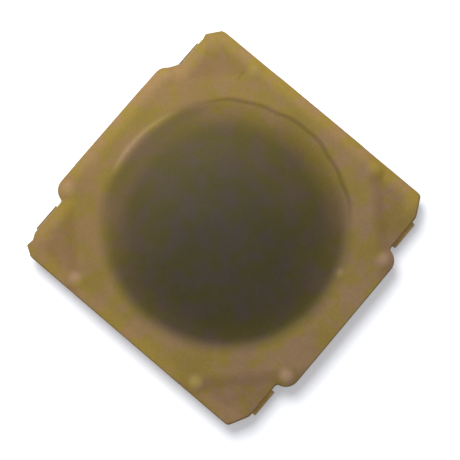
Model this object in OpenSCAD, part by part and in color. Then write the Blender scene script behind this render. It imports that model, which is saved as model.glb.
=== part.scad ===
// Low-profile tactile push button switch, surface mount, with a sealing film over a snap dome.
// +Z is up, away from the circuit board. The origin is the middle of the footprint, on the board.
// All lengths are in millimetres.

/* [Housing] */
// Length of the housing over its two middle tabs, along X
body_l = 5.1; // [4.9:0.05:6.5]
// Width of the housing, along Y
body_w = 4.95; // [4.75:0.05:6.5]
// How far each middle tab stands out beyond the corner blocks
tab_reach = 0.23; // [0.2:0.01:0.4]
// Gap along Y between a middle tab and the lead beside it
tab_gap = 0.13; // [0.08:0.01:0.3]
// Radius of the middle tabs' corners
tab_corner_r = 0.24; // [0.12:0.01:0.26]
// Length of the corner bevel along X
corner_cut_x = 0.18; // [0.05:0.01:0.3]
// Length of the corner bevel along Y
corner_cut_y = 0.34; // [0.1:0.01:0.38]
// Height of the eight-sided land above the board
land_z = 0.51; // [0.48:0.01:0.8]
// Distance from the middle to the land's four slanted edges
land_diag = 2.4; // [2.25:0.01:2.5]
// Drop from the land to the four corner terraces
corner_step = 0.04; // [0.02:0.01:0.08]
// Gap between the housing's underside and the board
standoff = 0.03; // [0.02:0.01:0.06]
// Step inwards of the walls below the parting line
parting_step = 0.02; // [0.01:0.005:0.04]

/* [Well] */
// Diameter of the round well that holds the dome
well_d = 4.0; // [3.6:0.05:4.3]
// Depth of the well below the land
well_depth = 0.13; // [0.12:0.01:0.2]

/* [Snap dome] */
// Radial clearance between the dome and the wall of the well
dome_clearance = 0.05; // [0.03:0.01:0.1]
// Thickness of the spring sheet
dome_t = 0.06; // [0.04:0.01:0.08]
// Rise of the dome's inner face from its rim to its middle
dome_rise = 0.27; // [0.24:0.01:0.32]
// Travel of the dome's middle until it meets the centre contact
travel = 0.2; // [0.12:0.01:0.24]

/* [Cover film] */
// Thickness of the film with its adhesive
film_t = 0.05; // [0.03:0.005:0.08]
// Distance of the film's edge from the edge of the housing
film_inset = 0.03; // [0.01:0.01:0.06]
// Clearance between the film and the dome
film_gap = 0.02; // [0.01:0.005:0.04]
// Width of the crease where the film steps down into the well
crease_w = 0.1; // [0.06:0.01:0.2]

/* [Contacts and leads] */
// Thickness of the contact strip
strip_t = 0.1; // [0.08:0.01:0.12]
// Plastic over the strip in the floor of the well
strip_cover = 0.06; // [0.04:0.01:0.08]
// Width of each lead
lead_w = 0.5; // [0.35:0.01:0.56]
// Distance from the housing's Y face to the middle of a lead
lead_edge = 0.655; // [0.55:0.005:0.75]
// How far a lead stands out from the corner block
lead_proud = 0.08; // [0.06:0.01:0.14]
// Length of the flat foot that is soldered
foot_l = 0.3; // [0.2:0.01:0.5]
// Moulding gap round a lead and its foot
lead_gap = 0.03; // [0.02:0.005:0.05]
// Width of the curved strip under the rim of the dome
ring_w = 0.45; // [0.3:0.01:0.6]
// Angle of the rim that one side contact covers
side_pad_angle = 40; // [20:1:60]
// Height of the side contacts above the floor of the well
side_pad_proud = 0.02; // [0.01:0.005:0.04]
// Width of the arm that joins a contact to its lead strip
arm_w = 0.6; // [0.4:0.01:1]
// Diameter of the centre contact's pad
center_pad_d = 0.9; // [0.6:0.05:1.4]
// Wall that is left round the hollow behind the centre contact's pad
center_pad_wall = 0.1; // [0.08:0.01:0.2]
// Width of the cut tie bar that each strip shows in the housing's Y face
tie_w = 0.3; // [0.2:0.01:0.6]

/* [Bosses and marks] */
// Diameter of the small bosses that the film is pressed over
boss_d = 0.14; // [0.1:0.01:0.16]
// Height of the bosses above the corner terraces
boss_h = 0.06; // [0.04:0.01:0.12]
// Distance of a boss from the housing's edge
boss_inset = 0.19; // [0.17:0.01:0.22]
// Distance along X from the middle to the bosses on the Y sides
boss_x = 1.3; // [1.2:0.01:1.4]
// Diameter of the ejector marks on the corner terraces
mark_d = 0.4; // [0.3:0.01:0.5]
// Depth of the ejector marks
mark_depth = 0.02; // [0.01:0.005:0.03]
// Width of the shallow groove that an ejector mark prints into the film
mark_line = 0.05; // [0.03:0.01:0.08]
// Distance of an ejector mark from the corner block's X face
mark_inset_x = 0.42; // [0.3:0.01:0.5]
// Distance of an ejector mark from the housing's Y face
mark_inset_y = 0.43; // [0.35:0.01:0.5]
// Diameter of the holes that the mould's pins leave in the underside
pin_hole_d = 0.4; // [0.3:0.01:0.6]

/* [Hidden] */
$fn = 96;
// A large circle needs more segments than a small one
fine = 360;
// Overshoot that keeps cuts clear of the faces that they start from
over = 0.5;
block_l = body_l - 2 * tab_reach;
corner_z = land_z - corner_step;
well_r = well_d / 2;
well_floor = land_z - well_depth;
// The dome stands on the side contacts and its rim sets the height of everything above
dome_r = well_r - dome_clearance;
dome_base = well_floor + side_pad_proud;
dome_inner_r = (dome_r * dome_r + dome_rise * dome_rise) / (2 * dome_rise);
dome_center_z = dome_base + dome_rise - dome_inner_r;
dome_outer_r = dome_inner_r + dome_t;
// The film's crown is concentric with the dome
crown_inner_r = dome_outer_r + film_gap;
crown_outer_r = crown_inner_r + film_t;
crown_end = well_r - crease_w;
crown_end_under = dome_center_z + sqrt(crown_inner_r * crown_inner_r - crown_end * crown_end);
crown_end_top = dome_center_z + sqrt(crown_outer_r * crown_outer_r - crown_end * crown_end);
// Share of the crease that is its flat bottom
crease_flat = 0.35;
crease_foot = crown_end + crease_flat * crease_w;
// The contact strip lies under the floor of the well
strip_top = well_floor - strip_cover;
strip_z = strip_top - strip_t;
// The lead's two bends take most of the height between its foot and the strip
bend_share = 0.4;
bend_r = (strip_z - strip_t) * bend_share;
leg_l = strip_z - strip_t - 2 * bend_r;
lead_x = block_l / 2 + lead_proud;
bend_x = lead_x - strip_t - bend_r;
lead_y = body_w / 2 - lead_edge;
tab_w = 2 * (lead_y - lead_w / 2 - tab_gap);
ring_mid_r = well_r - ring_w / 2;
center_pad_z = dome_base + dome_rise - travel;
boss_r = boss_d / 2;
cap_r = boss_r + film_t;
cap_h = boss_h + film_t;
boss_places = [
    for (sx = [-1, 1], sy = [-1, 1]) [sx * (body_l / 2 - boss_inset), sy * (tab_w / 2 - boss_inset)],
    for (sx = [-1, 1], sy = [-1, 1]) [sx * boss_x, sy * (body_w / 2 - boss_inset)]
];
mark_places = [
    for (sx = [-1, 1], sy = [-1, 1]) [sx * (block_l / 2 - mark_inset_x), sy * (body_w / 2 - mark_inset_y)]
];
housing_color = "#7a6440";
contact_color = "#c8b070";
dome_color = "#8c8a84";
film_color = "#9e8450";

// Rectangle with round corners, given by its half sizes
module rounded_rect(half_x, half_y, r) {
    square([2 * half_x, 2 * (half_y - r)], center = true);
    square([2 * (half_x - r), 2 * half_y], center = true);
    for (sx = [-1, 1], sy = [-1, 1])
        translate([sx * (half_x - r), sy * (half_y - r)])
            circle(r);
}

// Outline of the housing seen from above, drawn in by inset all round
module outline(inset = 0) {
    half_x = block_l / 2 - inset;
    half_y = body_w / 2 - inset;
    cut_x = half_x - corner_cut_x;
    cut_y = half_y - corner_cut_y;
    polygon([
        [half_x, -cut_y], [half_x, cut_y], [cut_x, half_y], [-cut_x, half_y],
        [-half_x, cut_y], [-half_x, -cut_y], [-cut_x, -half_y], [cut_x, -half_y]
    ]);
    rounded_rect(body_l / 2 - inset, tab_w / 2 - inset, tab_corner_r - inset);
}

// Square standing on a corner, whose sides are the land's slanted edges
module diamond(grow = 0) {
    rotate(45)
        square(2 * (land_diag + grow), center = true);
}

// Round stud with a rolled upper edge
module stud(r, h, edge_r) {
    rotate_extrude() {
        square([r - edge_r, h]);
        square([r, h - edge_r]);
        translate([r - edge_r, h - edge_r])
            circle(edge_r);
    }
}

// Quarter of a ring in the plane, whose hollow faces the origin
module quarter_ring(r, t) {
    intersection() {
        difference() {
            circle(r + t);
            circle(r);
        }
        square(r + t);
    }
}

// Side view of one lead: strip, upper bend, leg, lower bend and foot
module lead_profile() {
    translate([0, strip_z])
        square([bend_x, strip_t]);
    translate([bend_x, strip_z - bend_r])
        quarter_ring(bend_r, strip_t);
    translate([bend_x + bend_r, strip_t + bend_r])
        square([strip_t, leg_l]);
    translate([bend_x, strip_t + bend_r])
        mirror([0, 1])
            quarter_ring(bend_r, strip_t);
    translate([bend_x - foot_l, 0])
        square([foot_l, strip_t]);
}

// Straight strip along X with a folded lead at each end, in the row at height y
module lead_strip(y) {
    for (side = [0, 1])
        mirror([side, 0, 0])
            translate([0, y + lead_w / 2, 0])
                rotate([90, 0, 0])
                    linear_extrude(lead_w)
                        lead_profile();
}

// Flat bar along Y from y_from to y_to, in the plane of the strips
module bar(w, y_from, y_to) {
    translate([-w / 2, min(y_from, y_to), strip_z])
        cube([w, abs(y_to - y_from), strip_t]);
}

// Band of the ring strip or of a pad on it, between two heights and two angles
module ring_band(z_from, z_to, from_angle, sweep) {
    rotate(from_angle)
        rotate_extrude(angle = sweep)
            translate([well_r - ring_w, z_from])
                square([ring_w, z_to - z_from]);
}

// The pad is pressed up out of the strip, so it is hollow from below. The tie bar goes on by extra.
module center_contact_form(extra = 0) {
    difference() {
        union() {
            lead_strip(lead_y);
            bar(arm_w, 0, lead_y);
            bar(tie_w, lead_y, body_w / 2 + extra);
            translate([0, 0, strip_z])
                cylinder(d = center_pad_d, h = center_pad_z - strip_z);
        }
        translate([0, 0, strip_z - over])
            cylinder(d = center_pad_d - 2 * center_pad_wall, h = center_pad_z - strip_top + over);
    }
}

module ring_contact_form(extra = 0) {
    lead_strip(-lead_y);
    bar(arm_w, -lead_y, -ring_mid_r);
    bar(tie_w, -lead_y, -body_w / 2 - extra);
    ring_band(strip_z, strip_top, 180 - side_pad_angle / 2, 180 + side_pad_angle);
    for (turn = [0, 180])
        ring_band(strip_z, dome_base, turn - side_pad_angle / 2, side_pad_angle);
}

// Body of the housing before the well and the strips are taken out
module housing_blank() {
    translate([0, 0, standoff])
        linear_extrude(strip_z - standoff)
            outline(parting_step);
    translate([0, 0, strip_z])
        linear_extrude(corner_z - strip_z)
            outline();
    translate([0, 0, strip_z])
        linear_extrude(land_z - strip_z)
            intersection() {
                outline();
                diamond();
            }
    for (place = boss_places)
        translate([place[0], place[1], strip_z])
            stud(boss_r, corner_z + boss_h - strip_z, boss_r / 2);
}

// Space round the leg and the foot of every lead
module lead_pockets() {
    pocket_w = lead_w + 2 * lead_gap;
    for (sx = [0, 1], sy = [-1, 1])
        mirror([sx, 0, 0])
            translate([0, sy * lead_y - pocket_w / 2, 0]) {
                translate([bend_x, 0, -over])
                    cube([over, pocket_w, strip_top + over]);
                translate([bend_x - foot_l - lead_gap, 0, -over])
                    cube([foot_l + lead_gap + over, pocket_w, strip_t + lead_gap + over]);
            }
}

// Hole of a mould pin that held the strip from below, up to the strip's underside at z_to
module pin_hole(x, z_to) {
    translate([x, 0, -over])
        cylinder(d = pin_hole_d, h = z_to + over);
}

// Body of the housing with the well and everything that the mould leaves in it, but not the strips' seats
module housing_moulding() {
    difference() {
        housing_blank();
        translate([0, 0, well_floor])
            cylinder(r = well_r, h = well_depth + over);
        lead_pockets();
        for (place = mark_places)
            translate([place[0], place[1], corner_z - mark_depth])
                cylinder(d = mark_d, h = mark_depth + over);
        for (x = [-ring_mid_r, ring_mid_r])
            pin_hole(x, strip_z);
        pin_hole(0, center_pad_z - strip_t);
    }
}

// Moulded base with its well, terraces, bosses and the seats of the strips
module housing() {
    color(housing_color)
        difference() {
            difference() {
                housing_moulding();
                center_contact_form(over);
            }
            ring_contact_form(over);
        }
}

// Stamped strip with the raised pad that the dome closes onto
module center_contact() {
    color(contact_color)
        center_contact_form();
}

// Stamped strip whose two pads carry the rim of the dome
module ring_contact() {
    color(contact_color)
        ring_contact_form();
}

// Spring sheet formed to a shallow dome of even thickness
module snap_dome() {
    color(dome_color)
        rotate_extrude()
            intersection() {
                translate([0, dome_center_z])
                    difference() {
                        circle(dome_outer_r, $fn = fine);
                        circle(dome_inner_r, $fn = fine);
                    }
                square([dome_r, land_z + over]);
            }
}

// Section of the film over the well: crown, flat of the crease and the rise onto the land
module crown_profile() {
    intersection() {
        translate([0, dome_center_z])
            difference() {
                circle(crown_outer_r, $fn = fine);
                circle(crown_inner_r, $fn = fine);
            }
        square([crown_end, land_z + over]);
    }
    polygon([
        [crown_end, crown_end_under], [crease_foot, crown_end_under],
        [well_r, land_z], [well_r, land_z + film_t],
        [crease_foot, crown_end_top], [crown_end, crown_end_top]
    ]);
}

// Film outside the well: terraces, land, the slanted step between them and the caps of the bosses
module film_sheet() {
    difference() {
        union() {
            translate([0, 0, corner_z])
                linear_extrude(film_t)
                    outline(film_inset);
            translate([0, 0, corner_z])
                linear_extrude(corner_step + film_t)
                    intersection() {
                        outline(film_inset);
                        diamond(film_t);
                    }
            for (place = boss_places)
                translate([place[0], place[1], corner_z])
                    stud(cap_r, cap_h, cap_r / 2);
        }
        translate([0, 0, corner_z - over])
            linear_extrude(corner_step + over)
                diamond();
        for (place = boss_places)
            translate([place[0], place[1], corner_z - over])
                stud(boss_r, boss_h + over, boss_r / 2);
        translate([0, 0, corner_z])
            cylinder(r = well_r, h = over);
        for (place = mark_places)
            translate([place[0], place[1], corner_z + film_t - mark_depth])
                difference() {
                    cylinder(d = mark_d + mark_line, h = over);
                    translate([0, 0, -over])
                        cylinder(d = mark_d - mark_line, h = 3 * over);
                }
    }
}

// Sealing film, pressed over the land, the terraces, the bosses and the dome
module cover_film() {
    color(film_color) {
        film_sheet();
        rotate_extrude()
            crown_profile();
    }
}

housing();
center_contact();
ring_contact();
snap_dome();
cover_film();
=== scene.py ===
"""Looks of a low-profile surface-mount tactile push button switch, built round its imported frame.

The seal film, the moulded base, the two stamped contacts and the snap dome are rebuilt as fine surfaces
at the sizes of the frame. Lengths are in millimetres inside the functions and in metres in the settings.
"""
import math
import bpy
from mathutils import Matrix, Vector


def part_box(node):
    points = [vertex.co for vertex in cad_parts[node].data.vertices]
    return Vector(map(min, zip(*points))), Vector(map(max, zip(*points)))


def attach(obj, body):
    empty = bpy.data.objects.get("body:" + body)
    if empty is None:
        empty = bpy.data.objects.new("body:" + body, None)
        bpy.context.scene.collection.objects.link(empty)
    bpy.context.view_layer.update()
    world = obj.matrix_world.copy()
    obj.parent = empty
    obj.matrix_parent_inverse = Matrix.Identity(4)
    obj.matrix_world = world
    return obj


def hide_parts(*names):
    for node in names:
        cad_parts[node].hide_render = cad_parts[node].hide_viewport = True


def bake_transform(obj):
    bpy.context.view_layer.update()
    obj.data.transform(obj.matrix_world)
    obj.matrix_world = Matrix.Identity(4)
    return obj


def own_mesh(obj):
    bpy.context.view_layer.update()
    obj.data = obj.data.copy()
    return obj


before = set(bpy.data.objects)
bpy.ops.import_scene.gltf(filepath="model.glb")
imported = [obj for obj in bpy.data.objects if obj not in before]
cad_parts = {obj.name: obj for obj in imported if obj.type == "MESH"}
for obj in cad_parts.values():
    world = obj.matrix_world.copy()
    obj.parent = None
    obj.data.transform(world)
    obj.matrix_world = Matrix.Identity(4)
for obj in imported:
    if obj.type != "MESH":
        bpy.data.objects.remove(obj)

from types import SimpleNamespace

import bmesh
import bpy
import numpy as np
from bpy.props import FloatProperty, FloatVectorProperty, PointerProperty
from mathutils import Matrix, Vector

bl_info = {
    "name": "Tactile push button switch",
    "version": (1, 0, 0),
    "blender": (4, 5, 0),
    "location": "3D View > Sidebar > Switch",
    "description": "Builds the film, base, contacts and dome of a low-profile tactile switch, and its stage",
    "category": "Object",
}

MM = 0.001
# Angle of the dome's rim that one side contact covers, in degrees
PAD_ANGLE = 40
# How pale the film is drawn over each boss, partly stretched film and partly painted highlight, in the order
# of boss_places
BOSS_STRAIN_AND_HIGHLIGHT = (0.5, 0.25, 1.0, 0.7, 0.8, 0.5, 1.0, 0.2)
# Where the film's edge leaves the housing's outline: a web over one notch, an ear and a tip over two bevels
FILM_WEB = np.array([(-2.26, 1.68), (-2.37, 1.49), (-2.52, 1.26)])
FILM_EAR = np.array([(-2.14, 2.46), (-2.175, 2.42), (-2.33, 2.23), (-2.305, 2.12)])
FILM_TIP = np.array([(-2.245, -2.16), (-2.275, -2.365), (-2.14, -2.445)])
# Middle of a speck of dust that is caught under the film
SPECK = (1.955, 0.61)
# Nearly all values of a noise lie between these two, and each tone is spread over them
NOISE_SPREAD = {"From Min": 0.3, "From Max": 0.7}
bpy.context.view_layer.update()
HOUSING_LOW, HOUSING_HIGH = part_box("housing")
DOME_LOW, DOME_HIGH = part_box("snap_dome")
FILM_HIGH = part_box("cover_film")[1]
CENTER_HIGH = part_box("center_contact")[1]
RING_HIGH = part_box("ring_contact")[1]


def length(name, description, default):
    """A length setting, whose default is given in metres."""
    return FloatProperty(name=name, description=description, default=default, unit="LENGTH", precision=6)


def angle(name, description, degrees):
    """An angle setting, whose default is given in degrees."""
    return FloatProperty(name=name, description=description, default=math.radians(degrees), subtype="ANGLE")


def power(name, description, watts):
    """The power of a lamp."""
    return FloatProperty(name=name, description=description, default=watts, unit="POWER")


def colour(name, description, default):
    """A colour setting, written as sRGB hex and kept linear."""
    return FloatVectorProperty(
        name=name, description=description, default=linear(default), subtype="COLOR", size=3, min=0, max=1
    )


def linear(hex_colour):
    """Linear red, green and blue of an sRGB colour such as #9e8450."""
    parts = [int(hex_colour[i:i + 2], 16) / 255 for i in (1, 3, 5)]
    return tuple(c / 12.92 if c <= 0.04045 else ((c + 0.055) / 1.055) ** 2.4 for c in parts)


class HousingSettings(bpy.types.PropertyGroup):
    """Sizes and colour of the moulded base."""

    body_l: length("Length", "Length over the two middle tabs", HOUSING_HIGH.x - HOUSING_LOW.x)
    body_w: length("Width", "Width along Y", HOUSING_HIGH.y - HOUSING_LOW.y)
    standoff: length("Standoff", "Gap between the underside and the board", HOUSING_LOW.z)
    tab_reach: length("Tab reach", "How far a middle tab stands out beyond the corner blocks", 0.23 * MM)
    tab_w: length("Tab width", "Width of each middle tab along Y", 2.88 * MM)
    tab_corner_r: length("Tab corner", "Radius of the tabs' corners", 0.24 * MM)
    corner_cut_x: length("Bevel along X", "Length of the corner bevel along X", 0.18 * MM)
    corner_cut_y: length("Bevel along Y", "Length of the corner bevel along Y", 0.34 * MM)
    land_z: length("Land height", "Height of the eight-sided land above the board", 0.51 * MM)
    land_diag: length("Land diagonal", "Distance from the middle to the land's slanted edges", 2.4 * MM)
    corner_step: length("Terrace drop", "Drop from the land to the corner terraces", 0.04 * MM)
    parting_step: length("Parting step", "Step inwards below the parting line", 0.02 * MM)
    well_r: length("Well radius", "Radius of the round well", 2.0 * MM)
    well_depth: length("Well depth", "Depth of the well below the land", 0.13 * MM)
    boss_z: length("Boss height", "Height of the bosses above the board", HOUSING_HIGH.z)
    boss_r: length("Boss radius", "Radius of the bosses under the film", 0.07 * MM)
    boss_inset: length("Boss inset", "Distance of a boss from the edge", 0.19 * MM)
    boss_x: length("Boss place", "Distance along X to the bosses on the Y sides", 1.3 * MM)
    mark_r: length("Mark radius", "Radius of the ejector marks", 0.2 * MM)
    mark_inset_x: length("Mark inset X", "Distance of a mark from the corner block's X face", 0.42 * MM)
    mark_inset_y: length("Mark inset Y", "Distance of a mark from the Y face", 0.43 * MM)
    mark_depth: length("Mark depth", "Depth of the ejector marks", 0.02 * MM)
    pin_hole_r: length("Pin hole", "Radius of the mould pin's holes in the underside", 0.2 * MM)
    lip_r: length("Well lip", "Radius of the well's upper edge", 0.04 * MM)
    edge_r: length("Edge radius", "Radius of the moulded edges", 0.015 * MM)
    resin: colour("Resin", "Colour of the moulded resin", "#947a4c")


class FilmSettings(bpy.types.PropertyGroup):
    """Sizes and colours of the sealing film."""

    film_t: length("Thickness", "Thickness of the film with its adhesive", 0.05 * MM)
    film_inset: length("Inset", "Distance of its cut edge from the housing's edge", 0.014 * MM)
    crown_z: length("Crown height", "Height of the crown's top above the board", FILM_HIGH.z)
    crease_z: length("Crease height", "Height of the bottom of the crease", 0.5486 * MM)
    crown_r: length("Crown radius", "Radius at which the crown ends in the crease", 1.9 * MM)
    foot: length("Crown foot", "Height over which the crown's foot is softened", 0.02 * MM)
    seam_r: length("Seam radius", "Radius at which border and crown meet, in the crease", 1.915 * MM)
    crease_in: length("Crease foot", "Radius at which the film starts to rise to the land", 1.935 * MM)
    crease_out: length("Crease shoulder", "Radius at which the film has reached the land", 2.08 * MM)
    fold_r: length("Fold radius", "Radius of the kinked fold line", 2.06 * MM)
    fold_depth: length("Fold depth", "Depth of the kinked fold line", 0.014 * MM)
    lip_r: length("Lip radius", "Radius of the low lip on the other side", 2.035 * MM)
    lip_h: length("Lip height", "Height of that lip", 0.016 * MM)
    tent_r: length("Tent radius", "Radius of the tent that the film makes over a boss", 0.2 * MM)
    ramp_w: length("Ramp width", "Width over which the film falls from the land to a terrace", 0.28 * MM)
    ripple: length("Ripple", "Height of the film's waves", 0.004 * MM)
    # The film on the resin is warmed by painted light towards -X and cooled by painted shade towards +X
    border: colour("Border", "Colour of the film on the resin, towards -X", "#776232")
    border_cool_shade: colour("Border, far side", "Colour of the film on the resin, towards +X", "#76623c")
    terrace: colour("Terraces", "Colour of the film on the low corners towards -X", "#725c32")
    terrace_cool_shade: colour("Terraces, far side", "Colour of the film on the low corners towards +X", "#715c3c")
    # Painted highlight along the film's cut edge, strongest on the sides towards the lamps
    margin: colour("Margin", "Pale colour of the film along its cut edge", "#866e3b")
    # Partly pale stretched film and partly painted highlight, over the bosses, the lip and the speck
    strained_and_lit: colour("Strained film", "Pale colour of the film where it is stretched over a boss", "#988257")
    # Painted shade in the bottom of the kinked fold
    folded: colour("Folded film", "Dark colour in the bottom of a sharp fold", "#493b22")
    yellow_cloud: colour("Yellow cloud", "First tint of the film's clouds, against a middle grey", "#babe9e")
    rosy_cloud: colour("Rosy cloud", "Second tint of the film's clouds, against a middle grey", "#bdb8d5")
    # disc_dark and disc_light are the shaded and the lit ends of a painted sheen on the film over the dome,
    # lighter towards the lamps and the rim
    disc_dark: colour("Disc, dark side", "Colour of the film on the dome, away from the haze", "#373122")
    disc_light: colour("Disc, hazy side", "Colour of the film on the dome, in the haze", "#4b4126")
    disc_rim: colour("Disc, rim", "Colour of the film where it lifts off the dome", "#68562c")


class ContactSettings(bpy.types.PropertyGroup):
    """Sizes and colour of the stamped contacts."""

    strip_t: length("Strip", "Thickness of the strip", 0.1 * MM)
    strip_z: length("Strip height", "Height of the strip's underside above the board", 0.22 * MM)
    lead_w: length("Lead width", "Width of each lead", 0.5 * MM)
    lead_x: length("Lead reach", "Distance from the middle to a lead's outer face", CENTER_HIGH.x)
    lead_y: length("Lead row", "Distance of the rows of leads from the middle", 1.82 * MM)
    bend_r: length("Bend radius", "Inner radius of a lead's two bends", 0.048 * MM)
    foot_l: length("Foot", "Length of the flat foot", 0.3 * MM)
    lead_gap: length("Lead gap", "Moulding gap round a lead and its foot", 0.03 * MM)
    ring_w: length("Ring width", "Width of the curved strip under the dome's rim", 0.45 * MM)
    pad_z: length("Centre pad height", "Height of the centre contact's pad", CENTER_HIGH.z)
    pad_r: length("Centre pad radius", "Radius of the centre contact's pad", 0.45 * MM)
    pad_wall: length("Centre pad wall", "Wall round the hollow behind the pad", 0.1 * MM)
    arm_w: length("Arm width", "Width of the arm between a pad and its strip", 0.6 * MM)
    tie_w: length("Tie bar width", "Width of the cut tie bars", 0.3 * MM)
    side_pad_z: length("Side pad height", "Height of the side contacts", RING_HIGH.z)
    edge_r: length("Edge radius", "Radius of the stamped edges", 0.012 * MM)
    # The plating is drawn darker as painted shade on the leads
    plating: colour("Plating", "Colour of the shade_darkened plating", "#7c6230")


class DomeSettings(bpy.types.PropertyGroup):
    """Sizes and colour of the snap dome."""

    rim_r: length("Rim radius", "Radius of the dome's rim", DOME_HIGH.x)
    base_z: length("Rim height", "Height of the rim's underside above the board", DOME_LOW.z)
    top_z: length("Top height", "Height of the dome's top above the board", DOME_HIGH.z)
    sheet_t: length("Sheet", "Thickness of the spring sheet", 0.06 * MM)
    steel: colour("Steel", "Colour of the rolled spring steel", "#a09d95")


class StageSettings(bpy.types.PropertyGroup):
    """Camera and lamps."""

    distance: length("Camera distance", "Distance of the camera from the origin", 20 * MM)
    tilt: angle("Camera tilt", "Angle of the camera off the vertical", 5.255)
    heading: angle("Camera heading", "Compass angle of the camera, from +X", -49.681)
    key: power("Key lamp", "Power of the key lamp", 0.0039)
    key_distance: length("Key distance", "Distance of the key lamp from the origin", 20 * MM)
    key_size: length("Key size", "Side of the key lamp", 8.5 * MM)
    key_heading: angle("Key heading", "Compass angle of the key lamp, from +X", 158)
    key_height: angle("Key height", "Angle of the key lamp over the floor", 68)
    side: power("Side lamp", "Power of the low side lamp", 0.00015)
    side_distance: length("Side distance", "Distance of the side lamp from the origin", 9 * MM)
    side_size: length("Side size", "Side of the side lamp", 4 * MM)
    side_heading: angle("Side heading", "Compass angle of the side lamp, from +X", 150)
    side_height: angle("Side height", "Angle of the side lamp over the floor", 40)
    fill: FloatProperty(
        name="World light", description="Strength of the even light from all round", default=0.38,
        subtype="FACTOR", min=0, max=1,
    )


def in_mm(group):
    """Every length of a settings group in millimetres, under its own name."""
    lengths = [p.identifier for p in group.bl_rna.properties if getattr(p, "unit", "") == "LENGTH"]
    return SimpleNamespace(**{name: getattr(group, name) / MM for name in lengths})


def smooth(t):
    """Smooth step from 0 to 1 as t goes from 0 to 1: three t squared less two t cubed."""
    t = np.clip(t, 0, 1)
    return t * t * (3 - 2 * t)


def segment(start, end, count):
    """count points from start up to but not including end, evenly along a straight line."""
    t = np.arange(count)[:, None] / count
    return np.array(start) + t * (np.array(end) - np.array(start))


def arc(center, radius, start_angle, end_angle, count):
    """count points of a circle's arc, from its start angle up to but not including its end angle."""
    angles = start_angle + np.arange(count) / count * (end_angle - start_angle)
    return np.array(center) + radius * np.stack([np.cos(angles), np.sin(angles)], axis=-1)


def wrapped_faces(rows, columns, close_rows=False):
    """Quads of a grid whose columns close on themselves. close_rows joins the last row to the first."""
    i = np.arange(rows if close_rows else rows - 1)[:, None]
    j = np.arange(columns)[None, :]
    below = (i + 1) % rows
    right = (j + 1) % columns
    corners = [i * columns + j, below * columns + j, below * columns + right, i * columns + right]
    return np.stack(corners, axis=-1).reshape(-1, 4)


def grid_mesh(name, points, close_rows=False):
    """Closed mesh in millimetres from a grid of points, rows by columns by three.

    Rows that have shrunk to a point are merged into a pole, and all faces are turned outwards.
    """
    rows, columns = points.shape[:2]
    faces = wrapped_faces(rows, columns, close_rows)
    mesh = bpy.data.meshes.new(name)
    mesh.vertices.add(rows * columns)
    mesh.vertices.foreach_set("co", points.astype(np.float32).ravel())
    mesh.loops.add(faces.size)
    mesh.loops.foreach_set("vertex_index", faces.astype(np.int32).ravel())
    mesh.polygons.add(len(faces))
    mesh.polygons.foreach_set("loop_start", np.arange(0, faces.size, 4, dtype=np.int32))
    mesh.update(calc_edges=True)
    return cleaned(mesh)


def cleaned(mesh, merge=1e-5):
    """The same mesh with doubles merged, flat slivers dissolved and faces turned outwards."""
    work = bmesh.new()
    work.from_mesh(mesh)
    bmesh.ops.remove_doubles(work, verts=work.verts, dist=merge)
    bmesh.ops.dissolve_degenerate(work, edges=work.edges, dist=merge)
    bmesh.ops.recalc_face_normals(work, faces=work.faces)
    work.to_mesh(mesh)
    work.free()
    return mesh


def placed(mesh):
    """A mesh as an object of the scene, with its place in the mesh."""
    obj = bpy.data.objects.new(mesh.name, mesh)
    bpy.context.scene.collection.objects.link(obj)
    return obj


def lathe(name, profile, place=(0, 0), columns=96):
    """Solid of revolution: each radius and height of the profile turned round an upright axis at place."""
    profile = np.array(profile, float)
    angles = np.arange(columns) / columns * math.tau
    x = place[0] + profile[:, :1] * np.cos(angles)
    y = place[1] + profile[:, :1] * np.sin(angles)
    z = np.broadcast_to(profile[:, 1:], x.shape)
    return grid_mesh(name, np.stack([x, y, z], axis=-1))


def slab(name, low, high, turn=0.0):
    """Rectangular block between two corners, turned about the Z axis of the origin by turn."""
    corners = np.array([(x, y, z) for z in (0, 1) for x, y in ((0, 0), (1, 0), (1, 1), (0, 1))], float)
    points = np.array(low) + corners * (np.array(high) - np.array(low))
    cosine, sine = math.cos(turn), math.sin(turn)
    turned = points @ np.array([[cosine, sine, 0], [-sine, cosine, 0], [0, 0, 1]])
    faces = [(3, 2, 1, 0), (4, 5, 6, 7), (0, 1, 5, 4), (1, 2, 6, 5), (2, 3, 7, 6), (3, 0, 4, 7)]
    mesh = bpy.data.meshes.new(name)
    mesh.from_pydata(turned.tolist(), [], faces)
    return mesh


def prism(name, side_view, y_low, y_high):
    """Solid whose section is an outline of X and Z points, carried straight along Y."""
    side_view = np.asarray(side_view, float)
    count = len(side_view)
    ends = [np.insert(side_view, 1, y, axis=1) for y in (y_low, y_high)]
    walls = [(k, (k + 1) % count, (k + 1) % count + count, k + count) for k in range(count)]
    mesh = bpy.data.meshes.new(name)
    caps = [range(count), range(2 * count - 1, count - 1, -1)]
    mesh.from_pydata(np.concatenate(ends).tolist(), [], walls + caps)
    return cleaned(mesh)


def joined(name, meshes):
    """Several closed meshes as one mesh, for one Boolean cut."""
    work = bmesh.new()
    for mesh in meshes:
        work.from_mesh(mesh)
        bpy.data.meshes.remove(mesh)
    result = bpy.data.meshes.new(name)
    work.to_mesh(result)
    work.free()
    return result


def combined(mesh, tools, operation, overlapping=False):
    """The mesh with all tools united with it or taken out of it.

    overlapping lets the tools cross each other.
    """
    body = placed(mesh)
    tool = placed(joined(mesh.name + "_tools", tools))
    modifier = body.modifiers.new("Combine", "BOOLEAN")
    modifier.operation = operation
    modifier.solver = "EXACT"
    modifier.use_self = overlapping
    modifier.object = tool
    bpy.context.view_layer.update()
    depsgraph = bpy.context.evaluated_depsgraph_get()
    result = bpy.data.meshes.new_from_object(body.evaluated_get(depsgraph))
    name = mesh.name
    for obj in (body, tool):
        used = obj.data
        bpy.data.objects.remove(obj)
        bpy.data.meshes.remove(used)
    if not result.polygons:
        raise RuntimeError(f"{name}: the cut left nothing")
    result.name = name
    return cleaned(result)


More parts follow.
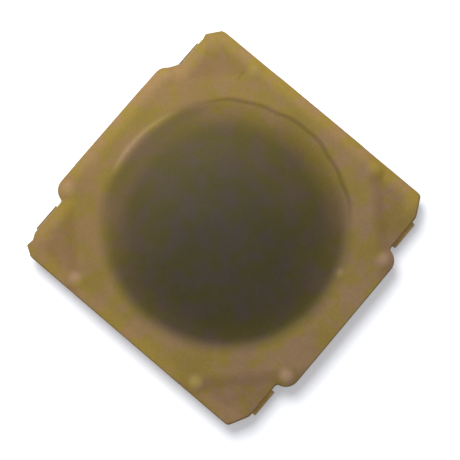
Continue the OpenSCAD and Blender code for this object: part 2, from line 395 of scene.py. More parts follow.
def finished(mesh, material, body, replaced, sharp_angle=math.radians(32)):
    """Turns a mesh from millimetres to metres, shades it, and hangs it on its body as a piece of the part."""
    mesh.transform(Matrix.Scale(MM, 4))
    mesh.materials.clear()
    mesh.materials.append(material)
    mesh.polygons.foreach_set("use_smooth", np.ones(len(mesh.polygons), bool))
    mesh.set_sharp_from_angle(angle=sharp_angle)
    obj = placed(mesh)
    if body:
        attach(obj, body)
    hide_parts(replaced)
    return obj


def rounded(points, passes=6):
    """A closed outline with its corners rounded: passes times, each point is averaged with its neighbours."""
    for _ in range(passes):
        points = (np.roll(points, 1, axis=0) + 2 * points + np.roll(points, -1, axis=0)) / 4
    return points


def outline(s, inset):
    """Outline of the housing seen from above, drawn in by inset, as points running anticlockwise.

    A quarter is the tab's side, its round corner, the block's side, the bevel and the Y side.
    The other quarters are its mirror images. Every inset gives the same number of points, and they lie
    about 0.02 mm apart.
    """
    tab_x = s.body_l / 2 - inset
    tab_y = s.tab_w / 2 - inset
    radius = s.tab_corner_r - inset
    block_x = s.body_l / 2 - s.tab_reach - inset
    block_y = s.body_w / 2 - inset
    cut_x = block_x - s.corner_cut_x
    cut_y = block_y - s.corner_cut_y
    center = (tab_x - radius, tab_y - radius)
    end_angle = math.acos(min(1, max(0, (block_x - center[0]) / radius)))
    notch = (block_x, center[1] + radius * math.sin(end_angle))
    quarter = np.concatenate([
        segment((tab_x, 0), (tab_x, center[1]), 62),
        arc(center, radius, 0, end_angle, 24),
        segment(notch, (block_x, cut_y), 36),
        segment((block_x, cut_y), (cut_x, block_y), 20),
        segment((cut_x, block_y), (0, block_y), 98),
    ])
    mirrored = quarter[::-1] * (-1, 1)
    half = np.concatenate([quarter, [(0, block_y)], mirrored[:-1]])
    return rounded(np.concatenate([half, -half]))


def boss_places(s):
    """Middles of the eight bosses, two at each end of a tab and two near each Y side."""
    on_tab = (s.body_l / 2 - s.boss_inset, s.tab_w / 2 - s.boss_inset)
    on_side = (s.boss_x, s.body_w / 2 - s.boss_inset)
    return [(sx * x, sy * y) for x, y in (on_tab, on_side) for sx in (-1, 1) for sy in (-1, 1)]


def mark_places(s):
    """Middles of the four ejector marks on the terraces."""
    x = s.body_l / 2 - s.tab_reach - s.mark_inset_x
    y = s.body_w / 2 - s.mark_inset_y
    return [(sx * x, sy * y) for sx in (-1, 1) for sy in (-1, 1)]


def stud_profile(radius, top_z, edge_r, base_z):
    """Profile of a boss: flat top, rolled upper edge and straight side."""
    edge = arc((radius - edge_r, top_z - edge_r), edge_r, math.pi / 2, 0, 8)
    return np.concatenate([[(0, top_z)], edge, [(radius, top_z - edge_r), (radius, base_z), (0, base_z)]])


def height_grid(xy, z):
    """Points of a grid from its places in the plane and its heights."""
    return np.concatenate([xy, np.broadcast_to(z, xy.shape[:-1])[..., None]], axis=-1)


def housing_mesh(s, c):
    """Moulded base: a loft of outlines with its well, terraces, bosses, pockets and holes cut or joined."""
    terrace_z = s.land_z - s.corner_step
    floor_z = s.land_z - s.well_depth
    parting_h = 0.002
    rolled = arc((0, 0), s.edge_r, 0, math.pi / 2, 4)
    steps = [(s.parting_step + s.edge_r - d[1], s.standoff + s.edge_r - d[0]) for d in rolled]
    steps += [(s.parting_step, s.standoff + s.edge_r), (s.parting_step, c.strip_z)]
    steps += [(0, c.strip_z + parting_h)]
    steps += [(s.edge_r - d[0], s.land_z - s.edge_r + d[1]) for d in rolled] + [(s.edge_r, s.land_z)]
    loops = [height_grid(outline(s, inset), z) for inset, z in steps]
    first, last = loops[0] * (0, 0, 1), loops[-1] * (0, 0, 1)
    base = grid_mesh("housing_body", np.stack([first] + loops + [last]))

    reach = 1.4
    beyond = 1.0
    corners = [
        slab("terrace", (s.land_diag, -reach, terrace_z), (s.land_diag + beyond, reach, terrace_z + beyond),
             math.radians(turn))
        for turn in (45, 135, 225, 315)
    ]
    base = combined(base, corners, "DIFFERENCE")
    root = 0.1
    studs = [
        lathe("stud", stud_profile(s.boss_r, s.boss_z, s.boss_r / 2, terrace_z - root), place, columns=48)
        for place in boss_places(s)
    ]
    base = combined(base, studs, "UNION")

    rolled = arc((s.well_r + s.lip_r, s.land_z - s.lip_r), s.lip_r, math.pi, math.pi / 2, 8)
    well = np.concatenate([
        [(0, floor_z), (s.well_r, floor_z)], rolled,
        [(s.well_r + s.lip_r, s.land_z), (s.well_r + s.lip_r, s.land_z + beyond), (0, s.land_z + beyond)],
    ])
    cuts = [lathe("well", well, columns=288)]
    mark_floor, mark_top = terrace_z - s.mark_depth, terrace_z + 0.3
    mark = [(0, mark_floor), (s.mark_r, mark_floor), (s.mark_r, mark_top), (0, mark_top)]
    cuts += [lathe("mark", mark, place, columns=64) for place in mark_places(s)]
    bend_x = c.lead_x - c.strip_t - c.bend_r
    pocket_y = c.lead_w / 2 + c.lead_gap
    foot_end = bend_x - c.foot_l - c.lead_gap
    foot_top, leg_top = c.strip_t + c.lead_gap, c.strip_z + c.strip_t
    pocket = [(foot_end, -beyond), (bend_x + beyond, -beyond), (bend_x + beyond, leg_top),
              (bend_x, leg_top), (bend_x, foot_top), (foot_end, foot_top)]
    cuts += [
        prism("lead_pocket", np.array(pocket) * (sx, 1), sy * c.lead_y - pocket_y, sy * c.lead_y + pocket_y)
        for sx in (-1, 1) for sy in (-1, 1)
    ]
    slot_depth = 0.1
    for sy in (-1, 1):
        low_y, high_y = sorted((sy * (s.body_w / 2 - slot_depth), sy * (s.body_w / 2 + beyond)))
        low, high = (-c.tie_w / 2, low_y, c.strip_z), (c.tie_w / 2, high_y, c.strip_z + c.strip_t)
        cuts.append(slab("tie_slot", low, high))
    ring_mid_r = s.well_r - c.ring_w / 2
    chamfer = 0.02
    strip_hole, pad_hole = c.strip_z + 0.02, c.pad_z - c.strip_t + 0.005
    for x, top in ((-ring_mid_r, strip_hole), (0, pad_hole), (ring_mid_r, strip_hole)):
        hole = [(0, top), (s.pin_hole_r, top), (s.pin_hole_r, s.standoff + chamfer),
                (s.pin_hole_r + chamfer, s.standoff), (s.pin_hole_r + chamfer, -beyond), (0, -beyond)]
        cuts.append(lathe("pin_hole", hole, (x, 0), columns=72))
    return combined(base, cuts, "DIFFERENCE")


def terrain(x, y, s):
    """Height of the housing's top face: land inside the diamond, terraces beyond it, and the studs."""
    beyond = (np.abs(x) + np.abs(y)) / math.sqrt(2) - s.land_diag
    terrace_z = s.land_z - s.corner_step
    z = np.where(beyond > 0, terrace_z, s.land_z)
    for bx, by in boss_places(s):
        distance = np.hypot(x - bx, y - by)
        edge = s.boss_r / 2
        rolled = s.boss_z - edge + np.sqrt(np.clip(edge**2 - np.clip(distance - edge, 0, edge)**2, 0, None))
        z = np.where(distance < s.boss_r, np.maximum(z, rolled), z)
    return np.where(np.hypot(x, y) < s.well_r, -1.0, z)


def ripples(x, y, height, seed=7, count=6):
    """Slow waves of the film: a sum of sines whose directions and wavelengths are drawn from a seed."""
    shortest, longest = 0.55, 1.7
    draw = np.random.default_rng(seed)
    total = np.zeros_like(x)
    for _ in range(count):
        angle = draw.uniform(0, math.tau)
        wavelength = draw.uniform(shortest, longest)
        phase = draw.uniform(0, math.tau)
        total += np.sin(math.tau * (x * math.cos(angle) + y * math.sin(angle)) / wavelength + phase)
    return height * total / count


def film_top(x, y, s, f):
    """Height of the film's outer face outside the crown.

    Land height falls to the terraces over a short ramp, tents rise over the bosses, shallow grooves ring
    the ejector marks, slow waves run over it all, and near the well it falls into the crease.
    """
    terrace_z = s.land_z - s.corner_step + f.film_t
    beyond = (np.abs(x) + np.abs(y)) / math.sqrt(2) - s.land_diag
    z = terrace_z + s.corner_step * (1 - smooth(beyond / f.ramp_w))
    z = z + ripples(x, y, f.ripple)
    groove_w, groove_depth = 0.035, 0.15 * s.mark_depth
    for mx, my in mark_places(s):
        z = z - groove_depth * bell(np.hypot(x - mx, y - my) - s.mark_r, groove_w)
    flat_r = 0.01
    for bx, by in boss_places(s):
        distance = np.hypot(x - bx, y - by)
        tent = 1 - smooth((distance - flat_r) / (f.tent_r - flat_r))
        z = z + tent * (s.boss_z + f.film_t - z)
    radius = np.hypot(x, y)
    z = z + fold(x, y, f)
    rise = smooth((radius - f.crease_in) / (f.crease_out - f.crease_in))
    return f.crease_z + rise * (z - f.crease_z)


def bell(distance, width):
    """Bell curve of a distance: 1 in the middle and nearly 0 at twice the width."""
    return np.exp(-(distance / width) ** 2)


def window(angle, start, end, fade):
    """1 between two angles in degrees and 0 outside them, with a smooth fade inside each end."""
    return smooth((angle - start) / fade) * smooth((end - angle) / fade)


def fold_line(x, y, f):
    """Strength of the sharp kinked fold on one side of the crown.

    A bell curve of the distance from a circle, which fades out along it. Two sines of the angle kink it,
    each with its height, its waves round the circle and its phase.
    """
    start, end, fade, width = 36, 150, 24, 0.034
    angle = np.degrees(np.arctan2(y, x)) % 360
    sines = ((0.014, 9, 20), (0.009, 23, 0))
    kinks = sum(height * np.sin(np.radians(waves * angle + phase)) for height, waves, phase in sines)
    return window(angle, start, end, fade) * bell(np.hypot(x, y) - f.fold_r - kinks, width)


def lip(x, y, f):
    """Strength of the low lip on the other side: a bell curve round a circle, between two angles."""
    start, end, fade, width = 150, 202, 16, 0.048
    angle = np.degrees(np.arctan2(y, x)) % 360
    return window(angle, start, end, fade) * bell(np.hypot(x, y) - f.lip_r, width)


def speck(x, y):
    """Bell curve round the middle of the speck of dust."""
    width = 0.075
    return bell(np.hypot(x - SPECK[0], y - SPECK[1]), width)


def strain_and_highlight(x, y, s, f):
    """How far the film is stretched and paled: highest over each boss, and on the lip and the speck. The
    paleness is partly stretched film and partly painted highlight.
    """
    palest_r, fade_w, on_speck = 0.04, 0.14, 0.5
    over = [
        boss_highlight * (1 - smooth((np.hypot(x - bx, y - by) - palest_r) / fade_w))
        for boss_highlight, (bx, by) in zip(BOSS_STRAIN_AND_HIGHLIGHT, boss_places(s))
    ]
    return np.max(over + [on_speck * speck(x, y), lip(x, y, f)], axis=0)


def margin(x, y, s, f):
    """How near the film is to its cut edge, for a painted highlight along it: 1 along it and 0 further in,
    and weaker on the +X and -Y sides, away from the lamps.

    The way to the edge is what is left of the outline's polar radius, taken square to the nearest side.
    """
    pale_w, fade_w, corner_w = 0.07, 0.23, 0.6
    on_right, on_left, on_back, on_front = 0.05, 1.0, 1.0, 0.5
    rim = film_outline(s, f.film_inset)
    rim_angle, rim_radius = np.arctan2(rim[:, 1], rim[:, 0]), np.hypot(rim[:, 0], rim[:, 1])
    angle = np.arctan2(y, x)
    left = np.interp(angle, rim_angle, rim_radius, period=math.tau) - np.hypot(x, y)
    square = left * np.maximum(np.abs(np.cos(angle)), np.abs(np.sin(angle)))
    x_side = smooth((np.abs(x) - np.abs(y)) / corner_w + 0.5)
    strength = x_side * np.where(x > 0, on_right, on_left) + (1 - x_side) * np.where(y > 0, on_back, on_front)
    return strength * (1 - smooth((square - pale_w) / fade_w))


def fold(x, y, f):
    """Height of the creases: the kinked fold, a low lip across from it, a short wrinkle and a speck."""
    wrinkle_h, wrinkle_w, lean = 0.014, 0.03, 0.06
    wrinkle_x, wrinkle_y = -1.45, 2.1
    start_y, end_y, fade = 1.9, 2.36, 0.1
    speck_h = 0.012
    along = smooth((y - start_y) / fade) * smooth((end_y - y) / fade)
    wrinkle = wrinkle_h * along * bell(x - wrinkle_x + lean * (y - wrinkle_y), wrinkle_w)
    return f.lip_h * lip(x, y, f) + wrinkle + speck_h * speck(x, y) - f.fold_depth * fold_line(x, y, f)


def film_outline(s, inset):
    """Outline of the film. It follows the housing, but a web bridges one notch, and two bevels are hidden.

    Each of them raises the outline's polar radius to that of a short run of straight lines.
    """
    per_line = 24
    points = outline(s, inset)
    angle, radius = np.arctan2(points[:, 1], points[:, 0]), np.hypot(points[:, 0], points[:, 1])
    for flap in (FILM_EAR, FILM_WEB, FILM_TIP):
        places = np.concatenate([segment(a, b, per_line) for a, b in zip(flap, flap[1:])] + [flap[-1:]])
        flap_angle = np.arctan2(places[:, 1], places[:, 0])
        flap_radius = np.hypot(places[:, 0], places[:, 1]) - inset + s.edge_r
        radius = np.maximum(radius, np.interp(angle, flap_angle, flap_radius, left=0, right=0))
    return radius[:, None] * np.stack([np.cos(angle), np.sin(angle)], axis=-1)


def film_border_mesh(s, f):
    """Film outside the crown, as one closed sheet with a hole.

    Rows run from the seam outwards over the top, down the cut edge and back along the underside.
    The first rows are circles, and the others lie between the last circle and the outline. The fold, the
    stretched film and the cut edge go with the mesh as attributes, for the film's colours: the fold carries a
    painted shade, the stretched film partly a painted highlight, and the cut edge a painted highlight.
    """
    edge, glue, past_crease = 0.012, 0.001, 0.02
    rim = film_outline(s, f.film_inset)
    angles = np.arctan2(rim[:, 1], rim[:, 0])
    around = np.stack([np.cos(angles), np.sin(angles)], axis=-1)
    ring_r = f.crease_out + past_crease

    def rows(crease_count, sheet_steps, reach):
        """Circles over the crease, then rows that lie at the shares sheet_steps of the way to reach."""
        circles = np.linspace(f.seam_r, ring_r, crease_count)[:-1, None, None] * around
        start = ring_r * around
        sheet = start + sheet_steps[:, None, None] * (reach - start)
        return np.concatenate([circles, sheet])

    top_steps = np.concatenate([np.linspace(0, 0.5, 20, endpoint=False), np.linspace(0.5, 1, 26)])
    top = rows(13, top_steps, film_outline(s, f.film_inset + edge))
    top = height_grid(top, film_top(top[..., 0], top[..., 1], s, f))
    rolled = []
    for angle in np.radians([30, 60, 90]):
        loop = film_outline(s, f.film_inset + edge * (1 - math.sin(angle)))
        rolled.append(height_grid(loop, top[-1, :, 2] - edge * (1 - math.cos(angle))))
    under_steps = np.concatenate([np.linspace(0, 0.5, 10, endpoint=False), np.linspace(0.5, 1, 14)])
    under = rows(8, under_steps, rim)[::-1]
    x, y = under[..., 0], under[..., 1]
    under_z = np.maximum(film_top(x, y, s, f) - f.film_t, terrain(x, y, s) + glue)
    sheet = np.concatenate([top, np.stack(rolled), height_grid(under, under_z)])
    mesh = grid_mesh("film_border", sheet, close_rows=True)
    places = np.zeros(3 * len(mesh.vertices))
    mesh.vertices.foreach_get("co", places)
    x, y = places.reshape(-1, 3)[:, :2].T
    layers = {"fold": fold_line(x, y, f), "strain_and_highlight": strain_and_highlight(x, y, s, f), "margin": margin(x, y, s, f)}
    for name, values in layers.items():
        mesh.attributes.new(name, "FLOAT", "POINT").data.foreach_set("value", values.astype(np.float32))
    return mesh


def crown_top(radius, s, f):
    """Height of the crown: part of a sphere that ends in a soft foot in the crease."""
    rise = f.crown_z - f.crease_z
    sphere_r = (f.crown_r**2 + rise**2) / (2 * rise)
    cap = np.sqrt(sphere_r**2 - np.minimum(radius, f.seam_r) ** 2) - (sphere_r - rise)
    cap = np.maximum(cap, 0)
    return f.crease_z + cap**2 / (cap + f.foot) * (rise + f.foot) / rise


def film_crown_mesh(s, f):
    """Film over the dome, as one closed sheet on the angles of the border's grid."""
    rim = outline(s, f.film_inset)
    angles = np.arctan2(rim[:, 1], rim[:, 0])
    around = np.stack([np.cos(angles), np.sin(angles)], axis=-1)
    top_r = f.seam_r * np.sin(np.linspace(0, math.pi / 2, 50))
    top = top_r[:, None, None] * around
    waves = ripples(top[..., 0], top[..., 1], 0.5 * f.ripple, seed=11)
    calm_from, calm_w = 1.3, 0.6
    fade = 1 - smooth((top_r - calm_from) / calm_w)
    top = height_grid(top, crown_top(top_r, s, f)[:, None] + fade[:, None] * waves)
    top[..., 2] = np.minimum(top[..., 2], f.crown_z)
    under_r = top_r[::-2]
    under = height_grid(under_r[:, None, None] * around, (crown_top(under_r, s, f) - f.film_t)[:, None])
    return grid_mesh("film_crown", np.concatenate([top, under, under[-1:] * (0, 0, 1)]))


def dome_mesh(d):
    """Spring sheet: two concentric spheres joined by a rolled rim, turned round the Z axis."""
    rise = d.top_z - d.sheet_t - d.base_z
    inner_r = (d.rim_r**2 + rise**2) / (2 * rise)
    center_z = d.base_z + rise - inner_r
    outer_r = inner_r + d.sheet_t
    r = d.rim_r * np.sin(np.linspace(0, math.pi / 2, 40))
    outer = np.stack([r, center_z + np.sqrt(outer_r**2 - r**2)], axis=-1)
    inner = np.stack([r, center_z + np.sqrt(inner_r**2 - r**2)], axis=-1)[::-1]
    return lathe("dome_sheet", np.concatenate([outer, inner]), columns=240)


def lead_path(c):
    """Middle line of a strip with a folded lead at each end, seen from the side, and its normals."""
    bend_x = c.lead_x - c.strip_t - c.bend_r
    middle_r = c.bend_r + c.strip_t / 2
    quarter = math.pi / 2
    half = np.concatenate([
        segment((0, c.strip_z + c.strip_t / 2), (bend_x, c.strip_z + c.strip_t / 2), 12),
        arc((bend_x, c.strip_z - c.bend_r), middle_r, quarter, 0, 14),
        arc((bend_x, c.strip_t + c.bend_r), middle_r, 0, -quarter, 14),
        segment((bend_x, c.strip_t / 2), (bend_x - c.foot_l, c.strip_t / 2), 6),
        [(bend_x - c.foot_l, c.strip_t / 2)],
    ])
    path = np.concatenate([half[:0:-1] * (-1, 1), half])
    tangent = np.gradient(path, axis=0)
    tangent /= np.linalg.norm(tangent, axis=1, keepdims=True)
    return path, np.stack([-tangent[:, 1], tangent[:, 0]], axis=-1)


def rounded_section(width, thickness, radius):
    """Cross-section of a stamped strip: a rectangle with small round corners, as across and through."""
    half_w, half_t = width / 2 - radius, thickness / 2 - radius
    quarter = math.pi / 2
    corners = ((half_w, half_t), (-half_w, half_t), (-half_w, -half_t), (half_w, -half_t))
    return np.concatenate([
        arc(center, radius, k * quarter, (k + 1) * quarter, 5) for k, center in enumerate(corners)
    ])


def strip_mesh(c, row_y):
    """Strip with a folded lead at each end: the stamped section carried along the folded middle line."""
    path, normal = lead_path(c)
    section = rounded_section(c.lead_w, c.strip_t, c.edge_r)
    x = path[:, :1] + normal[:, :1] * section[:, 1]
    z = path[:, 1:] + normal[:, 1:] * section[:, 1]
    y = np.broadcast_to(row_y + section[:, 0], x.shape)
    body = np.stack([x, y, z], axis=-1)
    ends = [np.broadcast_to(body[k].mean(axis=0), body[k].shape)[None] for k in (0, -1)]
    return grid_mesh("strip", np.concatenate([ends[0], body, ends[1]]))


def bar(c, width, y_from, y_to):
    """Flat bar along Y in the plane of the strips."""
    low, high = sorted((y_from, y_to))
    return slab("bar", (-width / 2, low, c.strip_z), (width / 2, high, c.strip_z + c.strip_t))


def tie_end(s, side):
    """The tie bar's cut end lies a little inside the housing's Y face."""
    recess = 0.01
    return side * (s.body_w / 2 - recess)


def center_contact_mesh(s, c):
    """Stamped strip, its arm and tie bar, and the pad that is pressed up and hollow from below."""
    edge = 0.03
    profile = stud_profile(c.pad_r, c.pad_z, edge, c.strip_z)
    parts = [bar(c, c.arm_w, 0, c.lead_y), bar(c, c.tie_w, c.lead_y, tie_end(s, 1)), lathe("pad", profile)]
    contact = strip_mesh(c, c.lead_y)
    contact.name = "center_contact_strip"
    contact = combined(contact, parts, "UNION", overlapping=True)
    hollow_r, top, bottom = c.pad_r - c.pad_wall, c.pad_z - c.strip_t, c.strip_z - 0.2
    hollow = [(0, top), (hollow_r, top), (hollow_r, bottom), (0, bottom)]
    return combined(contact, [lathe("hollow", hollow)], "DIFFERENCE")


def ring_band(s, c, z_from, z_to, start, sweep):
    """Part of a flat ring under the dome's rim, between two heights and two angles in degrees."""
    inner, outer = s.well_r - c.ring_w, s.well_r
    section = np.array([(inner, z_from), (outer, z_from), (outer, z_to), (inner, z_to)])
    angles = np.radians(start + np.linspace(0, sweep, int(sweep) + 1))[:, None]
    body = np.stack([
        section[:, 0] * np.cos(angles), section[:, 0] * np.sin(angles),
        np.broadcast_to(section[:, 1], (len(angles), 4)),
    ], axis=-1)
    ends = [np.broadcast_to(body[k].mean(axis=0), body[k].shape)[None] for k in (0, -1)]
    return grid_mesh("band", np.concatenate([ends[0], body, ends[1]]))


def ring_contact_mesh(s, c):
    """Stamped strip, its arm and tie bar, and the curved strip whose two pads carry the dome's rim."""
    ring_mid_r = s.well_r - c.ring_w / 2
    parts = [
        bar(c, c.arm_w, -c.lead_y, -ring_mid_r), bar(c, c.tie_w, -c.lead_y, tie_end(s, -1)),
        ring_band(s, c, c.strip_z, c.strip_z + c.strip_t, 180 - PAD_ANGLE / 2, 180 + PAD_ANGLE),
        ring_band(s, c, c.strip_z, c.side_pad_z, -PAD_ANGLE / 2, PAD_ANGLE),
        ring_band(s, c, c.strip_z, c.side_pad_z, 180 - PAD_ANGLE / 2, PAD_ANGLE),
    ]
    contact = strip_mesh(c, -c.lead_y)
    contact.name = "ring_contact_strip"
    return combined(contact, parts, "UNION", overlapping=True)


def add_node(tree, kind, inputs=None, **options):
    """Adds one shader node and sets its options. An input gets a value or a link from another node.

    A node stands for its first output, and any other output is given itself.
    """
    node = tree.nodes.new("ShaderNode" + kind)
    for name, value in options.items():
        setattr(node, name, value)
    for name, value in (inputs or {}).items():
        if isinstance(value, bpy.types.Node):
            value = value.outputs[0]
        if isinstance(value, bpy.types.NodeSocket):
            tree.links.new(value, node.inputs[name])
        else:
            node.inputs[name].default_value = value
    return node


def new_material(name):
    """An empty node material and its tree."""
    material = bpy.data.materials.new(name)
    material.use_nodes = True
    material.node_tree.nodes.clear()
    return material, material.node_tree


def rgba(values):
    """A colour with full alpha."""
    return (*values, 1.0)


def per_metre(size_mm):
    """Scale of a noise whose features are size_mm wide, on coordinates in metres."""
    return 1 / (size_mm * MM)


def moulded_lcp(settings):
    """Moulded liquid-crystal polymer: dull, with short glass fibres that show as fine pale flecks.

    Real fibres are about 0.01 mm thick, too fine to show, so the flecks are drawn 0.05 mm wide.
    """
    material, tree = new_material("moulded_lcp_resin")
    where = add_node(tree, "TexCoord").outputs["Object"]
    stretch = 0.35
    along = add_node(tree, "Mapping", {"Vector": where, "Scale": (stretch, 1, 1)}, vector_type="POINT")
    # Of the flecks and of slow clouds: place, width in millimetres, detail, darkest and brightest tone
    patterns = ((along, 0.05, 3.0, 0.86, 1.12), (where, 0.9, 2.0, 0.93, 1.06))
    noises, tone = [], 1.0
    for place, width, detail, darkest, brightest in patterns:
        noises.append(add_node(
            tree, "TexNoise", {"Vector": place, "Scale": per_metre(width), "Detail": detail}
        ))
        shade = add_node(
            tree, "MapRange",
            {"Value": noises[-1], **NOISE_SPREAD, "To Min": darkest, "To Max": brightest},
        )
        tone = add_node(tree, "Math", {0: tone, 1: shade}, operation="MULTIPLY")
    shaded = add_node(tree, "VectorMath", {0: tuple(settings.resin), "Scale": tone}, operation="SCALE")
    grain = add_node(tree, "Bump", {"Height": noises[0], "Strength": 0.25, "Distance": 0.004 * MM})
    shader = add_node(
        tree, "BsdfPrincipled",
        {"Base Color": shaded, "Normal": grain, "Roughness": 0.58, "IOR": 1.6,
         "Specular IOR Level": 0.4},
    )
    add_node(tree, "OutputMaterial", {"Surface": shader})
    return material


def rolled_lines(tree, where, width, stretch, detail, roughness, strength, height):
    """Straight lines that rolls leave along X in a metal strip, and the shader inputs that follow them.

    Real ones are a few thousandths of a millimetre wide, too fine to show, so they are drawn coarser.
    width and height are in millimetres.
    """
    along = add_node(tree, "Mapping", {"Vector": where, "Scale": (stretch, 1, 1)}, vector_type="POINT")
    lines = add_node(tree, "TexNoise", {"Vector": along, "Scale": per_metre(width), "Detail": detail})
    rough = add_node(
        tree, "MapRange",
        {"Value": lines, **NOISE_SPREAD, "To Min": roughness[0], "To Max": roughness[1]},
    )
    bump = add_node(tree, "Bump", {"Height": lines, "Strength": strength, "Distance": height * MM})
    return lines, {"Roughness": rough, "Normal": bump, "Metallic": 1.0}


def plated_brass(settings):
    """Stamped brass strip with a thin gold plating drawn darker as painted shade: dark stains, and rolling
    lines it softens.
    """
    material, tree = new_material("tarnished_gold_plated_brass_strip")
    where = add_node(tree, "TexCoord").outputs["Object"]
    metal = rolled_lines(
        tree, where, width=0.02, stretch=0.06, detail=3.0, roughness=(0.36, 0.5), strength=0.2, height=0.002
    )[1]
    stain = add_node(tree, "TexNoise", {"Vector": where, "Scale": per_metre(0.22), "Detail": 3.0})
    tone = add_node(
        tree, "MapRange",
        {"Value": stain, "From Min": 0.35, "From Max": 0.7, "To Min": 1.05, "To Max": 0.72},
    )
    shaded = add_node(tree, "VectorMath", {0: tuple(settings.plating), "Scale": tone}, operation="SCALE")
    shader = add_node(tree, "BsdfPrincipled", {"Base Color": shaded, **metal})
    add_node(tree, "OutputMaterial", {"Surface": shader})
    return material


def rolled_steel(settings):
    """Rolled stainless spring sheet: bright and grey, with fine straight rolling lines."""
    material, tree = new_material("rolled_stainless_spring_sheet")
    where = add_node(tree, "TexCoord").outputs["Object"]
    lines, metal = rolled_lines(
        tree, where, width=0.025, stretch=0.04, detail=4.0, roughness=(0.24, 0.38), strength=0.15,
        height=0.001,
    )
    tone = add_node(tree, "MapRange", {"Value": lines, **NOISE_SPREAD, "To Min": 0.85, "To Max": 1.1})
    shaded = add_node(tree, "VectorMath", {0: tuple(settings.steel), "Scale": tone}, operation="SCALE")
    shader = add_node(tree, "BsdfPrincipled", {"Base Color": shaded, **metal})
    add_node(tree, "OutputMaterial", {"Surface": shader})
    return material


